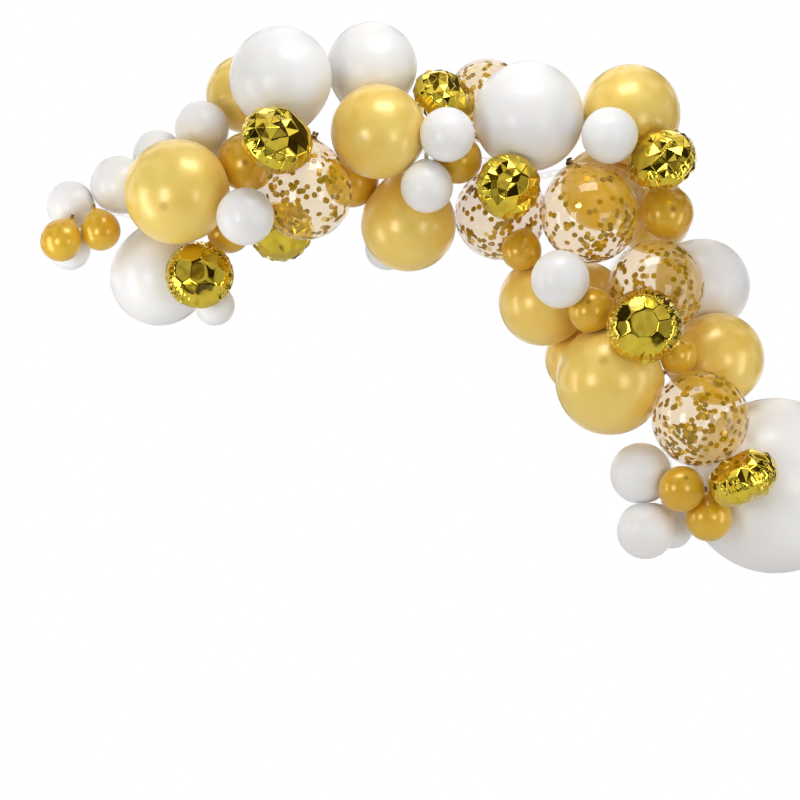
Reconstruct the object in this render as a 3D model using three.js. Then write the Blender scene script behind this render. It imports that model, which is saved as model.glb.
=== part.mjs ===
// A balloon garland: latex, confetti and foil balloons gathered round a flexible plastic strip.
// Millimetres, +X to the right, +Y away from the viewer, +Z up. The origin is on the crown of the strip.

import * as THREE from 'three';

// Driving dimensions
const STRIP_WIDTH = 18;
const STRIP_THICKNESS = 1.6;
const STRIP_STEP = 15;
const STRIP_STATIONS = 60;
const STRIP_SAMPLES = 2000;
const TOUCH_GAP = 0.6;
const SQUEEZE = 0.95;
const LATEX_LENGTH = 1.17;
const LATEX_SHOULDER = 2.1;
const LATEX_TAPER = 0.8;
const LATEX_LAST_RING = 0.45;
const NECK_RADIUS = 2.4;
const NECK_GROWTH = 0.02;
const KNOT_FLARE = 1.7;
const KNOT_LENGTH = 9;
const KNOT_GROWTH = 0.05;
const KNOT_WIDEST = 0.75;
const LARGE_LATEX = 180;
const LARGE_RINGS = { sides: 12, body: 4, taper: 3 };
const SMALL_RINGS = { sides: 8, body: 3, taper: 2 };
const FOIL_THICKNESS = 0.62;
const FOIL_PLEAT = 0.05;
const FOIL_TAIL = 1.13;
const FOIL_SIDES = 14;
const FOIL_PROFILE = [
  { out: 0.5, up: 0.87, pleat: 0 },
  { out: 0.84, up: 0.54, pleat: 0.6 },
];
const GATHER_PASSES = 500;
const GATHER_PULL = 0.02;
const SETTLE_PASSES = 900;
const NECK_CANDIDATES = 600;
const CROWDING_COST = 6;

// Finishes, one for each kind of balloon and one for the strip
const FINISHES = {
  white_balloon: { color: 0xf1eeeb, roughness: 0.38, metalness: 0 },
  pearl_gold_balloon: { color: 0xe2c468, roughness: 0.3, metalness: 0.25 },
  deep_gold_balloon: { color: 0xd39b1f, roughness: 0.28, metalness: 0.3 },
  confetti_balloon: { color: 0xead9c4, roughness: 0.1, metalness: 0 },
  foil_balloon: { color: 0xd9c23a, roughness: 0.12, metalness: 1 },
  balloon_strip: { color: 0xe9edf0, roughness: 0.25, metalness: 0 },
};

// The strip's centre line, from the left tip over the crown to the foot on the right
const STRIP_ROUTE = [
  [-905, 0, -176], [-810, 0, -170], [-702, 0, -202], [-580, 0, -176], [-459, 0, -108],
  [-378, 0, -46], [-270, 0, -11], [-184, 0, -12], [-92, 0, -24], [0, 0, 0], [81, 0, -27],
  [189, 0, -30], [297, 0, -70], [383, 0, -59], [486, 0, -40], [575, 0, -86], [594, 0, -167],
  [575, 0, -248], [521, 0, -319], [516, 0, -405], [551, 0, -491], [616, 0, -589],
  [637, -30, -688], [659, -60, -805], [691, -80, -913], [734, -80, -986],
];

// Places. Each balloon has its centre across and up, its diameter, and its depth before it settles.
// A nose is where the crown of the balloon shows, in radii right and up of its centre.
// A neck is the way the knot points. A face is the way the flat side of a foil balloon looks.
const LAYOUT = {
  white_balloon: [
    { at: [-945, -148], across: 130, depth: 60, neck: [0.6, 0.35, -0.72] },
    { at: [-948, -267], across: 113, depth: 45 },
    { at: [-815, -92], across: 154, depth: 45, neck: [0.5, 0.4, -0.77] },
    { at: [-710, -11], across: 135, depth: 70 },
    { at: [-706, -340], across: 267, depth: 50 },
    { at: [-589, 59], across: 146, depth: 5 },
    { at: [-554, -420], across: 108, depth: -20 },
    { at: [-467, -185], across: 155, depth: -200 },
    { at: [-375, 192], across: 275, depth: -70 },
    { at: [-130, 227], across: 243, depth: 75 },
    { at: [-89, -262], across: 119, depth: 130 },
    { at: [18, -103], across: 141, depth: -215, neck: [-0.05, 0.3, 0.95] },
    { at: [72, 35], across: 148, depth: -205, neck: [-0.55, 0.45, -0.7] },
    { at: [292, 89], across: 297, depth: -120 },
    { at: [374, -352], across: 156, depth: -215 },
    { at: [508, 34], across: 152, depth: -215 },
    { at: [770, -364], across: 254, depth: 145 },
    { at: [593, -872], across: 165, depth: -130 },
    { at: [605, -1025], across: 154, depth: -175 },
    { at: [680, -1019], across: 113, depth: -65, nose: [0.33, -0.9] },
    { at: [961, -907], across: 475, depth: 60, neck: [-0.8, 0.55, -0.1] },
  ],
  pearl_gold_balloon: [
    { at: [-653, -116], across: 284, depth: -105, nose: [-0.1, 0] },
    { at: [-475, 157], across: 211, depth: 150 },
    { at: [-112, 46], across: 256, depth: -100, nose: [0.03, 0.3] },
    { at: [-31, -200], across: 256, depth: -40 },
    { at: [332, -410], across: 238, depth: -25 },
    { at: [454, -400], across: 205, depth: 155 },
    { at: [440, -562], across: 200, depth: 125, nose: [-0.43, -0.16] },
    { at: [510, -622], across: 294, depth: -105 },
    { at: [497, -103], across: 227, depth: 105 },
    { at: [570, 99], across: 267, depth: -20 },
    { at: [637, -171], across: 211, depth: 215 },
    { at: [805, -564], across: 250, depth: -5 },
  ],
  deep_gold_balloon: [
    { at: [-967, -246], across: 113, depth: -30, neck: [0.41, 0.15, 0.9] },
    { at: [-861, -219], across: 108, depth: -30, neck: [-0.3, 0.15, 0.94] },
    { at: [-516, -219], across: 119, depth: 10 },
    { at: [-466, -34], across: 160, depth: -10, nose: [-0.37, 0.12] },
    { at: [-184, -81], across: 146, depth: 75 },
    { at: [101, -27], across: 132, depth: -70, nose: [0.39, 0.08] },
    { at: [273, -273], across: 108, depth: -120 },
    { at: [459, -435], across: 124, depth: -135, nose: [-0.24, 0.39] },
    { at: [664, -171], across: 147, depth: -75, nose: [0.82, 0.06] },
    { at: [691, -554], across: 108, depth: -145, nose: [0.2, 0.6] },
    { at: [699, -913], across: 124, depth: -220, nose: [0.16, 0.48] },
    { at: [774, -991], across: 127, depth: -155, neck: [-0.1, 0.3, 0.95] },
  ],
  confetti_balloon: [
    { at: [-308, -119], across: 254, depth: -80, neck: [0.28, 0, 0.96] },
    { at: [184, 140], across: 227, depth: 110 },
    { at: [219, -171], across: 251, depth: 20 },
    { at: [456, -176], across: 265, depth: -130 },
    { at: [636, -373], across: 261, depth: -75 },
    { at: [751, -725], across: 262, depth: -185 },
  ],
  foil_balloon: [
    { at: [-593, -339], across: 188, depth: -130, face: [0.05, -0.97, 0.2], tail: [0.3, 0, 0.9] },
    { at: [-382, 19], across: 205, depth: -205, face: [0.4, -0.74, 0.54], tail: [0.75, 0.2, -0.6] },
    { at: [-375, -219], across: 178, depth: 85, face: [0.1, -0.85, -0.5], tail: [0, 0.5, 0.85] },
    { at: [65, 140], across: 184, depth: -130, face: [0.52, -0.52, 0.68], tail: [-0.2, 0.9, 0.4] },
    { at: [236, -103], across: 185, depth: -215, face: [0.42, -0.9, -0.05], tail: [0.8, 0.3, -0.5] },
    { at: [649, -32], across: 194, depth: -160, face: [-0.36, -0.7, 0.62], tail: [-0.85, 0, -0.5] },
    { at: [597, -477], across: 205, depth: -250, face: [-0.05, -0.99, 0.1], tail: [0, 0.1, -1] },
    { at: [861, -884], across: 201, depth: -245, face: [-0.44, -0.3, 0.85], tail: [-0.9, 0.1, -0.4] },
  ],
};

const AWAY = new THREE.Vector3(0, 1, 0);
const UP = new THREE.Vector3(0, 0, 1);

// The neck and the rolled knot grow slowly with the size of a latex balloon
function neckSizes(radius) {
  const neck = NECK_RADIUS + radius * NECK_GROWTH;
  return { neck, knot: neck * KNOT_FLARE, length: KNOT_LENGTH + radius * KNOT_GROWTH };
}

function readLayout() {
  const balloons = [];
  for (const [kind, rows] of Object.entries(LAYOUT)) {
    rows.forEach((row, index) => {
      const radius = row.across / 2;
      const balloon = {
        name: `${kind}_${String(index + 1).padStart(2, '0')}`,
        kind,
        row,
        radius,
        foil: kind === 'foil_balloon',
        centre: new THREE.Vector3(row.at[0], row.depth, row.at[1]),
        axis: new THREE.Vector3(...(row.face ?? [0, 1, 0])).normalize(),
        planes: [],
      };
      balloon.tip = radius * LATEX_LENGTH + neckSizes(radius).length;
      balloons.push(balloon);
    });
  }
  return balloons;
}

// How far a balloon reaches from its centre in one direction
function reach(balloon, direction) {
  if (!balloon.foil) {
    return balloon.radius;
  }
  const along = direction.dot(balloon.axis);
  const flat = Math.sqrt(Math.max(0, 1 - along * along));
  return balloon.radius * Math.hypot(flat, FOIL_THICKNESS * along);
}

// Stations along the strip, each with its point and the direction of its width
function stripStations(curve, count) {
  const stations = [];
  for (let i = 0; i <= count; i += 1) {
    const point = curve.getPointAt(i / count);
    const tangent = curve.getTangentAt(i / count);
    const width = new THREE.Vector3().crossVectors(tangent, AWAY).normalize();
    const normal = new THREE.Vector3().crossVectors(width, tangent).normalize();
    stations.push({ point, width, normal });
  }
  return stations;
}

function stripReach(station, direction) {
  const wide = Math.abs(direction.dot(station.width)) * STRIP_WIDTH / 2;
  const thick = Math.abs(direction.dot(station.normal)) * STRIP_THICKNESS / 2;
  return wide + thick;
}

// How much farther apart in depth two points must be, so that they are as far apart as needed
function depthShort(from, to, needed) {
  const across = Math.hypot(to.x - from.x, to.z - from.z);
  if (across >= needed) {
    return 0;
  }
  return Math.sqrt(needed * needed - across * across) - Math.abs(to.y - from.y);
}

function nearestStation(balloon, stations) {
  let nearest = stations[0];
  for (const station of stations) {
    if (station.point.distanceTo(balloon.centre) < nearest.point.distanceTo(balloon.centre)) {
      nearest = station;
    }
  }
  return nearest;
}

// The balloons are drawn in to the strip. Those that press too hard on each other, or on the strip,
// move apart, all in depth alone
function settle(balloons, stations) {
  const direction = new THREE.Vector3();
  for (const balloon of balloons) {
    balloon.home = nearestStation(balloon, stations).point.y;
  }
  for (let pass = 0; pass < SETTLE_PASSES; pass += 1) {
    if (pass < GATHER_PASSES) {
      for (const balloon of balloons) {
        balloon.centre.y += (balloon.home - balloon.centre.y) * GATHER_PULL;
      }
    }
    balloons.forEach((one, index) => {
      for (const other of balloons.slice(index + 1)) {
        direction.subVectors(other.centre, one.centre).normalize();
        const needed = (reach(one, direction) + reach(other, direction)) * SQUEEZE;
        const short = depthShort(one.centre, other.centre, needed);
        if (short > 0) {
          const sign = other.row.depth >= one.row.depth ? 1 : -1;
          const share = other.radius / (one.radius + other.radius);
          one.centre.y -= sign * short * share;
          other.centre.y += sign * short * (1 - share);
        }
      }
    });
    for (const balloon of balloons) {
      for (const station of stations) {
        direction.subVectors(station.point, balloon.centre).normalize();
        const needed = reach(balloon, direction) + stripReach(station, direction) + TOUCH_GAP;
        const short = depthShort(balloon.centre, station.point, needed);
        if (short > 0) {
          balloon.centre.y += (balloon.row.depth >= station.point.y ? 1 : -1) * short;
        }
      }
    }
  }
}

// Flat patches, as planes that a balloon stays behind: where it touches a neighbour, both give way,
// and a neighbour that it doesn't touch only stops its neck
function findPlanes(balloons, stations) {
  for (const balloon of balloons) {
    for (const other of balloons) {
      if (other === balloon) {
        continue;
      }
      const normal = new THREE.Vector3().subVectors(other.centre, balloon.centre);
      const apart = normal.length();
      normal.normalize();
      const own = reach(balloon, normal);
      const theirs = reach(other, normal);
      const pressed = own + theirs + TOUCH_GAP - apart;
      if (pressed > 0) {
        const distance = own - pressed * theirs / (own + theirs);
        balloon.planes.push({ normal, distance });
      } else if (apart - theirs < balloon.tip + TOUCH_GAP) {
        balloon.planes.push({ normal, distance: apart - theirs - TOUCH_GAP });
      }
    }
    for (const station of stations) {
      const normal = new THREE.Vector3().subVectors(station.point, balloon.centre);
      const apart = normal.length();
      normal.normalize();
      const distance = apart - stripReach(station, normal) - TOUCH_GAP;
      if (distance < balloon.tip) {
        balloon.planes.push({ normal, distance });
      }
    }
  }
}

function wantedNeck(balloon, stations) {
  const { nose, neck } = balloon.row;
  if (neck) {
    return new THREE.Vector3(...neck).normalize();
  }
  if (nose) {
    const towards = -Math.sqrt(Math.max(0, 1 - nose[0] * nose[0] - nose[1] * nose[1]));
    return new THREE.Vector3(nose[0], towards, nose[1]).negate().normalize();
  }
  const { point } = nearestStation(balloon, stations);
  return new THREE.Vector3().subVectors(point, balloon.centre).normalize();
}

// The neck turns away from where it's wanted only as far as it must to lie between the neighbours
function aimNeck(balloon, stations) {
  const wanted = wantedNeck(balloon, stations);
  const { knot } = neckSizes(balloon.radius);
  const goldenAngle = Math.PI * (3 - Math.sqrt(5));
  let best = wanted;
  let bestCost = Infinity;
  for (let i = -1; i < NECK_CANDIDATES; i += 1) {
    const direction = wanted.clone();
    if (i >= 0) {
      const height = 1 - (2 * i + 1) / NECK_CANDIDATES;
      const flat = Math.sqrt(1 - height * height);
      direction.set(flat * Math.cos(i * goldenAngle), flat * Math.sin(i * goldenAngle), height);
    }
    let crowding = 0;
    for (const plane of balloon.planes) {
      const along = direction.dot(plane.normal);
      const out = balloon.tip * along + knot * Math.sqrt(Math.max(0, 1 - along * along));
      crowding = Math.max(crowding, out - plane.distance);
    }
    const cost = direction.angleTo(wanted) + CROWDING_COST * crowding / balloon.radius;
    if (cost < bestCost) {
      bestCost = cost;
      best = direction;
    }
  }
  balloon.axis = best.clone();
}

// Rings of a latex balloon from its crown to its knot, as radius and height along the neck
function latexRings(radius) {
  const { sides, body, taper } = radius * 2 > LARGE_LATEX ? LARGE_RINGS : SMALL_RINGS;
  const { neck, knot, length } = neckSizes(radius);
  const rings = [];
  for (let i = 1; i <= body; i += 1) {
    const angle = (Math.PI / 2) * i / body;
    rings.push({ out: radius * Math.sin(angle), up: -radius * Math.cos(angle) });
  }
  for (let i = 1; i <= taper; i += 1) {
    const part = Math.sin((Math.PI / 2) * i / (taper + LATEX_LAST_RING));
    const out = neck + (radius - neck) * (1 - part ** LATEX_SHOULDER) ** LATEX_TAPER;
    rings.push({ out, up: radius * LATEX_LENGTH * part });
  }
  rings.push({ out: neck, up: radius * LATEX_LENGTH, isNeck: true });
  rings.push({ out: knot, up: radius * LATEX_LENGTH + length * KNOT_WIDEST, isNeck: true });
  return {
    sides,
    low: { out: 0, up: -radius },
    rings,
    high: { out: 0, up: radius * LATEX_LENGTH + length, isNeck: true },
  };
}

// Rings of a foil balloon from the back of it, over its pleated seam, to the middle of its face
function foilRings(radius) {
  const rings = [];
  for (const { out, up, pleat } of FOIL_PROFILE) {
    rings.push({ out: radius * out, up: -radius * FOIL_THICKNESS * up, pleat });
  }
  rings.push({ out: radius, up: 0, pleat: 1 });
  for (const { out, up, pleat } of [...FOIL_PROFILE].reverse()) {
    rings.push({ out: radius * out, up: radius * FOIL_THICKNESS * up, pleat });
  }
  return {
    sides: FOIL_SIDES,
    low: { out: 0, up: -radius * FOIL_THICKNESS },
    rings,
    high: { out: 0, up: radius * FOIL_THICKNESS },
  };
}

// Points of one ring. Every second point of a pleated ring is drawn in, and one on the seam is the tail
function ringPoints(ring, sides, radius) {
  const points = [];
  for (let i = 0; i < sides; i += 1) {
    const angle = 2 * Math.PI * i / sides;
    let out = ring.out;
    if (ring.pleat) {
      out *= 1 - (i % 2) * FOIL_PLEAT * ring.pleat;
    }
    if (ring.pleat === 1 && i === 0) {
      out = radius * FOIL_TAIL;
    }
    points.push(new THREE.Vector3(out * Math.cos(angle), out * Math.sin(angle), ring.up));
  }
  return points;
}

// How much a point is drawn back towards the centre, so that it stays behind every flat patch
function drawBack(point, planes) {
  let part = 1;
  for (const plane of planes) {
    const along = point.dot(plane.normal);
    if (along > plane.distance) {
      part = Math.min(part, plane.distance / along);
    }
  }
  return part;
}

// A closed mesh from two poles and the rings between them
function closedShape(low, loops, high) {
  const points = [low, ...loops.flat(), high];
  const sides = loops[0].length;
  const last = points.length - 1;
  const faces = [];
  for (let i = 0; i < sides; i += 1) {
    const next = (i + 1) % sides;
    faces.push(0, 1 + next, 1 + i);
    for (let loop = 0; loop < loops.length - 1; loop += 1) {
      const here = 1 + loop * sides;
      const above = here + sides;
      faces.push(here + i, here + next, above + next);
      faces.push(here + i, above + next, above + i);
    }
    const top = last - sides;
    faces.push(top + i, top + next, last);
  }
  const geometry = new THREE.BufferGeometry();
  geometry.setAttribute('position', new THREE.Float32BufferAttribute(points.flatMap((p) => p.toArray()), 3));
  geometry.setIndex(faces);
  geometry.computeVertexNormals();
  return geometry;
}

function turnOf(balloon) {
  if (!balloon.foil) {
    return new THREE.Quaternion().setFromUnitVectors(UP, balloon.axis);
  }
  const tail = new THREE.Vector3(...balloon.row.tail);
  tail.addScaledVector(balloon.axis, -tail.dot(balloon.axis)).normalize();
  const side = new THREE.Vector3().crossVectors(balloon.axis, tail);
  const basis = new THREE.Matrix4().makeBasis(tail, side, balloon.axis);
  return new THREE.Quaternion().setFromRotationMatrix(basis);
}

function balloonMesh(balloon) {
  const turn = turnOf(balloon);
  const back = turn.clone().invert();
  const planes = balloon.planes.map(({ normal, distance }) => (
    { normal: normal.clone().applyQuaternion(back), distance }
  ));
  const shape = balloon.foil ? foilRings(balloon.radius) : latexRings(balloon.radius);
  const loops = shape.rings.map((ring) => ringPoints(ring, shape.sides, balloon.radius));
  const low = new THREE.Vector3(0, 0, shape.low.up);
  const high = new THREE.Vector3(0, 0, shape.high.up);
  let neckPart = 1;
  shape.rings.forEach((ring, index) => {
    if (ring.isNeck) {
      neckPart = Math.min(neckPart, ...loops[index].map((point) => drawBack(point, planes)));
    }
  });
  neckPart = Math.min(neckPart, drawBack(high, planes));
  shape.rings.forEach((ring, index) => {
    for (const point of loops[index]) {
      point.multiplyScalar(ring.isNeck ? neckPart : drawBack(point, planes));
    }
  });
  low.multiplyScalar(drawBack(low, planes));
  high.multiplyScalar(neckPart);
  const mesh = new THREE.Mesh(closedShape(low, loops, high), finish(balloon.kind));
  mesh.name = balloon.name;
  mesh.position.copy(balloon.centre);
  mesh.quaternion.copy(turn);
  return mesh;
}

function finish(kind) {
  return new THREE.MeshStandardMaterial(FINISHES[kind]);
}

// The strip is one flat bar that bends with its centre line
function stripMesh(curve) {
  const loops = stripStations(curve, STRIP_STATIONS).map(({ point, width, normal }) => {
    const corners = [[-1, -1], [-1, 1], [1, 1], [1, -1]];
    return corners.map(([across, through]) => point.clone()
      .addScaledVector(width, across * STRIP_WIDTH / 2)
      .addScaledVector(normal, through * STRIP_THICKNESS / 2));
  });
  const low = curve.getPointAt(0);
  const high = curve.getPointAt(1);
  const mesh = new THREE.Mesh(closedShape(low, loops, high), finish('balloon_strip'));
  mesh.name = 'balloon_strip';
  return mesh;
}

const stripCurve = new THREE.CatmullRomCurve3(STRIP_ROUTE.map((point) => new THREE.Vector3(...point)));
stripCurve.arcLengthDivisions = STRIP_SAMPLES;
const stations = stripStations(stripCurve, Math.round(stripCurve.getLength() / STRIP_STEP));
const balloons = readLayout();
settle(balloons, stations);
findPlanes(balloons, stations);

const garland = new THREE.Group();
garland.add(stripMesh(stripCurve));
for (const balloon of balloons) {
  if (!balloon.foil) {
    aimNeck(balloon, stations);
  }
  garland.add(balloonMesh(balloon));
}

export default garland;
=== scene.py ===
"""The looks of a balloon garland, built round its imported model: latex, confetti and foil balloons
on a flexible strip, with a floor, soft lights and a camera."""

import math

import bmesh
import bpy
import numpy as np
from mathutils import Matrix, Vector, geometry


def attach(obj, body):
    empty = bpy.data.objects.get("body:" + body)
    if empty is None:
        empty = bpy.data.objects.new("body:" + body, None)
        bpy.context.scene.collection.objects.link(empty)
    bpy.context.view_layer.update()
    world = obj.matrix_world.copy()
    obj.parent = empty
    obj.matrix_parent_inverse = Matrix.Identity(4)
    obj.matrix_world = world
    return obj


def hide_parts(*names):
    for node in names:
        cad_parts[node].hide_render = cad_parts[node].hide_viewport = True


bl_info = {
    "name": "Balloon Garland",
    "version": (1, 0, 0),
    "blender": (4, 5, 0),
    "location": "View3D > Sidebar > Garland",
    "description": "Builds the balloons of a garland, their confetti and the strip they are tied to",
    "category": "Add Mesh",
}

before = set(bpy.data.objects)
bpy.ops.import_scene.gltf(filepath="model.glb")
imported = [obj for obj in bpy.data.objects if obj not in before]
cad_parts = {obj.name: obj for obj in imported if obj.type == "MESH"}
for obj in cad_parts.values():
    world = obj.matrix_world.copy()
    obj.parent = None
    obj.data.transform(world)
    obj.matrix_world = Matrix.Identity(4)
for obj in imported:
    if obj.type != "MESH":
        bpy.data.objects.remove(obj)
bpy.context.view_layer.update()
MM = 0.001
TURN = 2 * math.pi
KINDS = (
    "white_balloon", "pearl_gold_balloon", "deep_gold_balloon", "confetti_balloon", "foil_balloon",
)

# The solids' own proportions: a latex balloon's length from its centre to its knot in radii, the
# powers of the curve that leads to its neck, and so on
LATEX_LENGTH = 1.17
LATEX_SHOULDER = 2.1
LATEX_TAPER = 0.8
NECK_RADIUS = 2.4 * MM
NECK_GROWTH = 0.02
KNOT_FLARE = 1.7
KNOT_LENGTH = 9 * MM
KNOT_GROWTH = 0.05
FOIL_THICKNESS = 0.62
TOUCH_GAP = 0.6 * MM
STRIP_WIDTH = 18 * MM
STRIP_THICKNESS = 1.6 * MM

# How a balloon is measured from its solid: how near to a sphere its corners have to lie, how many
# have to, how many spheres are tried, how large one may be and how many sides a knot has at least
LATEX_FIT = 0.08 * MM
FOIL_FIT = 0.6 * MM
LEAST_FITTED = 7
FIT_TRIES = 6000
LARGEST_RADIUS = 0.3
KNOT_SIDES = 8

# Past this radius a latex balloon gets more sides
LARGE_RADIUS = 90 * MM
# Where the taper ends, as a part of the way to the knot, and how far into the neck that counts as
TAPER_END = 0.93
NECK_MARK = 0.6
NECK_ROWS = 6
NECK_PLEATS = 5
NECK_PLEAT_DEPTH = 0.1
# The pleats' turn for a metre of radius, so that they differ between balloons
NECK_PLEAT_TURN = 900
# The knot, row by row: the radius that its distance from the axis is a part of, that part, and the
# height in knot lengths
KNOT_ROWS = (
    ("neck", 0.8, 0.16), ("knot", 0.72, 0.24), ("knot", 0.93, 0.34), ("knot", 0.9, 0.46),
    ("neck", 0.95, 0.56), ("neck", 0.9, 0.66), ("neck", 1.2, 0.78), ("knot", 0.95, 0.9),
    ("knot", 1.0, 0.96), ("knot", 0.9, 1.0), ("knot", 0.6, 0.95),
)

# The strip's centre line, from the left tip over the crown to the foot on the right, in millimetres
STRIP_ROUTE = [
    (-905, 0, -176), (-810, 0, -170), (-702, 0, -202), (-580, 0, -176), (-459, 0, -108),
    (-378, 0, -46), (-270, 0, -11), (-184, 0, -12), (-92, 0, -24), (0, 0, 0), (81, 0, -27),
    (189, 0, -30), (297, 0, -70), (383, 0, -59), (486, 0, -40), (575, 0, -86), (594, 0, -167),
    (575, 0, -248), (521, 0, -319), (516, 0, -405), (551, 0, -491), (616, 0, -589),
    (637, -30, -688), (659, -60, -805), (691, -80, -913), (734, -80, -986),
]

# The latex finishes: how dark the crown's spot is, metallic, roughness, coat, glow and sheen
LATEX_FINISHES = {
    "white": (0.1, 0.0, 0.34, 0.25, 0.45, (1, 1, 1)),
    "pearl_gold": (0.35, 0.12, 0.32, 0.5, 0.0, (1, 0.92, 0.6)),
    "deep_gold": (0.5, 0.2, 0.28, 0.45, 0.0, (1, 0.82, 0.3)),
}
# Where the crown's dark spot fades out, where the neck's darker colour comes in and how strongly,
# and where the clear balloons' thick rubber starts, all as parts of the way from crown to knot
CROWN_SPOT = (0.012, 0.045)
NECK_TINT = (0.87, 0.955)
NECK_STRENGTH = 0.85
THICK_FROM = 0.9

# The way that each foil balloon's flat side looks, the way of its filling tail and its creases
FOIL_TURNS = {
    "foil_balloon_01": ((0.05, -0.97, 0.2), (0.3, 0, 0.9), "polygons"),
    "foil_balloon_02": ((0.4, -0.74, 0.54), (0.75, 0.2, -0.6), "ridges"),
    "foil_balloon_03": ((0.1, -0.85, -0.5), (0, 0.5, 0.85), "ridges"),
    "foil_balloon_04": ((0.52, -0.52, 0.68), (-0.2, 0.9, 0.4), "ridges"),
    "foil_balloon_05": ((0.42, -0.9, -0.05), (0.8, 0.3, -0.5), "ridges"),
    "foil_balloon_06": ((-0.36, -0.7, 0.62), (-0.85, 0, -0.5), "ridges"),
    "foil_balloon_07": ((-0.05, -0.99, 0.1), (0, 0.1, -1), "pillows"),
    "foil_balloon_08": ((-0.44, -0.3, 0.85), (-0.9, 0.1, -0.4), "ridges"),
}
# Rings of flat polygons: how many, how far from the middle they lean, how deep they are cut
POLYGONS = {
    "polygons": ((1, 0.1, 1.0), (6, 0.4, 1.2), (11, 0.72, 1.0), (15, 1.0, 0.6)),
    "pillows": ((1, 0.0, 1.6), (9, 0.46, 1.05), (18, 0.8, 0.65)),
}
# Rings of pleats by the seam: distance from the middle, shift in pleats, lift in crumples
PLEAT_ROWS = ((0.79, 0, 0.35), (0.93, 0.5, -0.9), (0.94, 0, 0.9), (1.12, 0.5, -1), (1.12, 0, 1))
FOIL_SEEDS = (3, 8, 21)
CREASE_SEED = 5
# A crumpled skin is kept this much smaller than the solid round it
FOIL_INSIDE = 0.985
TAIL_STRETCH = 0.07
TAIL_FLATTENING = 0.75

CONFETTI_SEED = 11
SHADE_SEED = 5
DISC_SIDES = 12
# The share of the discs that lie between the clumps, and how far a disc may lie off the wall
BETWEEN_CLUMPS = 0.08
DISC_PLAY = 1.6 * MM
# The wall that confetti lies against: how far it is inside the rubber, and its sides
WALL_GAP = 2.2 * MM
WALL_SIDES = 48

# Each light: its place, what it points to, its width, its height and its power
MIDDLE = (0.0, 0.0, -0.55)
LIGHTS = {
    "window_left": ((-1.9, -0.5, -0.7), MIDDLE, 0.5, 1.4, 9),
    "front_left": ((-1.9, -2.9, -0.6), MIDDLE, 0.9, 1.3, 25),
    "front_right": ((1.9, -2.7, -0.7), MIDDLE, 0.8, 1.2, 12),
    "window_right": ((2.0, -0.7, -0.8), MIDDLE, 0.4, 1.2, 5),
    "softbox_above": ((0.3, -1.0, 1.7), (0.1, 0, -0.3), 1.3, 0.8, 22),
}
FLOOR_REACH = 3
SENSOR = 36


def prop_number(name, about, default, **limits):
    return bpy.props.FloatProperty(name=name, description=about, default=default, **limits)


def prop_length(name, about, default):
    return prop_number(name, about, default, unit="LENGTH", precision=4)


def prop_part(name, about, default):
    return prop_number(name, about, default, subtype="FACTOR", min=0, max=1)


def prop_count(name, about, default):
    return bpy.props.IntProperty(name=name, description=about, default=default)


def prop_colour(name, about, default):
    return bpy.props.FloatVectorProperty(
        name=name, description=about, default=default, subtype="COLOR", size=3, min=0, max=1
    )


class LatexSettings(bpy.types.PropertyGroup):
    white: prop_colour("White", "Colour of the white balloons", (0.90, 0.905, 0.92))
    white_shade: prop_colour("White shade", "Their colour in cloudy spots", (0.885, 0.88, 0.885))
    white_knot: prop_colour("White knot", "Their colour at the knot", (0.76, 0.73, 0.68))
    pearl_gold: prop_colour("Pearl gold", "Colour of the pearl gold balloons", (0.93, 0.68, 0.165))
    pearl_gold_shade: prop_colour("Pearl shade", "Their colour in cloudy spots", (0.91, 0.61, 0.11))
    pearl_gold_knot: prop_colour("Pearl knot", "Their colour at the knot", (0.36, 0.17, 0.03))
    deep_gold: prop_colour("Deep gold", "Colour of the deep gold balloons", (0.78, 0.47, 0.025))
    deep_gold_shade: prop_colour("Deep shade", "Their colour in cloudy spots", (0.72, 0.39, 0.01))
    deep_gold_knot: prop_colour("Deep knot", "Their colour at the knot", (0.14, 0.055, 0.01))
    softness: prop_part("Crease softness", "How round the edge of a pressed patch is, in radii", 0.07)
    large_sides: prop_count("Sides", "Sides of a large balloon", 80)
    small_sides: prop_count("Small sides", "Sides of a small balloon", 56)


class ConfettiSettings(bpy.types.PropertyGroup):
    film: prop_colour("Film", "Colour of the clear rubber", (1.0, 0.61, 0.01))
    film_alpha: prop_part("Film strength", "How much of the clear rubber is seen", 0.31)
    knot: prop_colour("Knot", "Colour of the clear rubber where it is thick", (0.55, 0.36, 0.18))
    disc: prop_length("Disc", "Diameter of one confetti disc", 16 * MM)
    thickness: prop_length("Thickness", "Thickness of one confetti disc", 0.2 * MM)
    gold: prop_colour("Gold", "Colour of the confetti", (0.50, 0.26, 0.012))
    bright: prop_colour("Bright gold", "Colour of a few confetti discs", (0.95, 0.82, 0.34))
    density: prop_number("Density", "Discs for a square metre where they are densest", 3900)
    clumps: prop_number("Clumps", "Scale of the noise that gathers the discs", 16)
    tilt: prop_number("Tilt", "How far a disc leans away from the wall", 0.25, subtype="ANGLE")


class FoilSettings(bpy.types.PropertyGroup):
    gold: prop_colour("Gold", "Colour of the foil", (0.80, 0.62, 0.04))
    gold_shade: prop_colour("Gold shade", "Its deeper colour", (0.66, 0.46, 0.02))
    flat: prop_number("Flat size", "Radius of the flat foil in filled radii", 1.311)
    rings: prop_count("Rings", "Rings of one flat side before it is filled", 24)
    frames: prop_count("Filling steps", "Steps of the filling", 24)
    crumple: prop_number("Crumple", "Depth of a crumple in radii", 0.042)
    facet: prop_number("Facet", "Depth of a flat facet in radii", 0.06)
    pleats: prop_count("Pleats", "Pleats along one side of the seam", 17)
    rim: prop_number("Rim", "Width of the welded rim in radii", 0.03)
    tail: prop_number("Tail", "Half width of the filling tail in radii", 0.08)


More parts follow.
